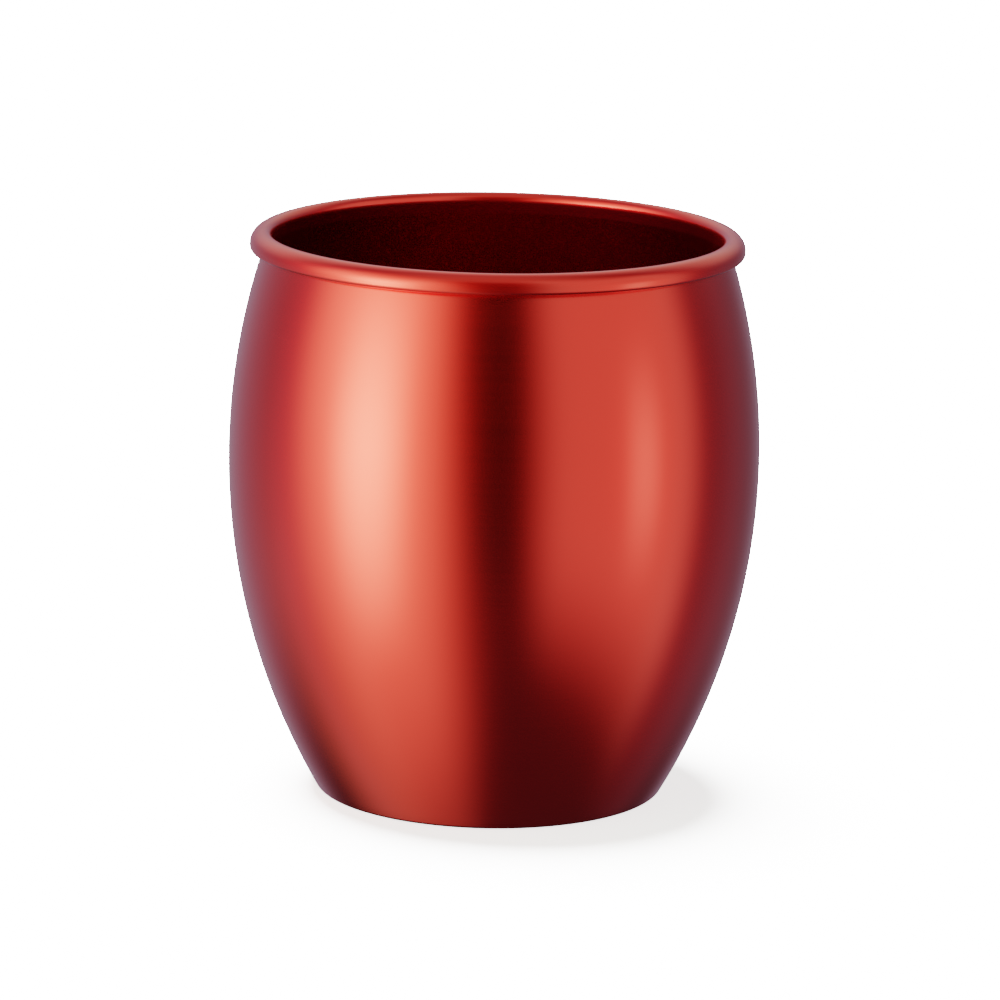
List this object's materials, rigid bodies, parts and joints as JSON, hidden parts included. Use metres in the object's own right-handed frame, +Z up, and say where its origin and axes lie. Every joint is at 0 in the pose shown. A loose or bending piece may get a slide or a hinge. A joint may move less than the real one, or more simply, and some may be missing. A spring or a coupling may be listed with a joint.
{
  "type": "barrel tumbler",
  "caption": "Handleless barrel-shaped drinking tumbler in red anodised aluminium, with a rolled wired rim, a turned-in heel and a set-in domed base.",
  "frame": {"origin": "middle of the base, on the surface that the cup stands on", "axes": "+Z up along the cup's axis; the cup is the same all round, so +X and +Y are free"},
  "size_m": [0.089, 0.089, 0.095],
  "materials": {
    "red_anodised": "satin red anodised, with fine turned lines round the cup",
    "bare_wire": "bare drawn wire"
  },
  "bodies": {
    "root": {"barrel_wall": "red_anodised", "rim_wire": "bare_wire", "base_disc": "red_anodised"}
  },
  "joints": []
}
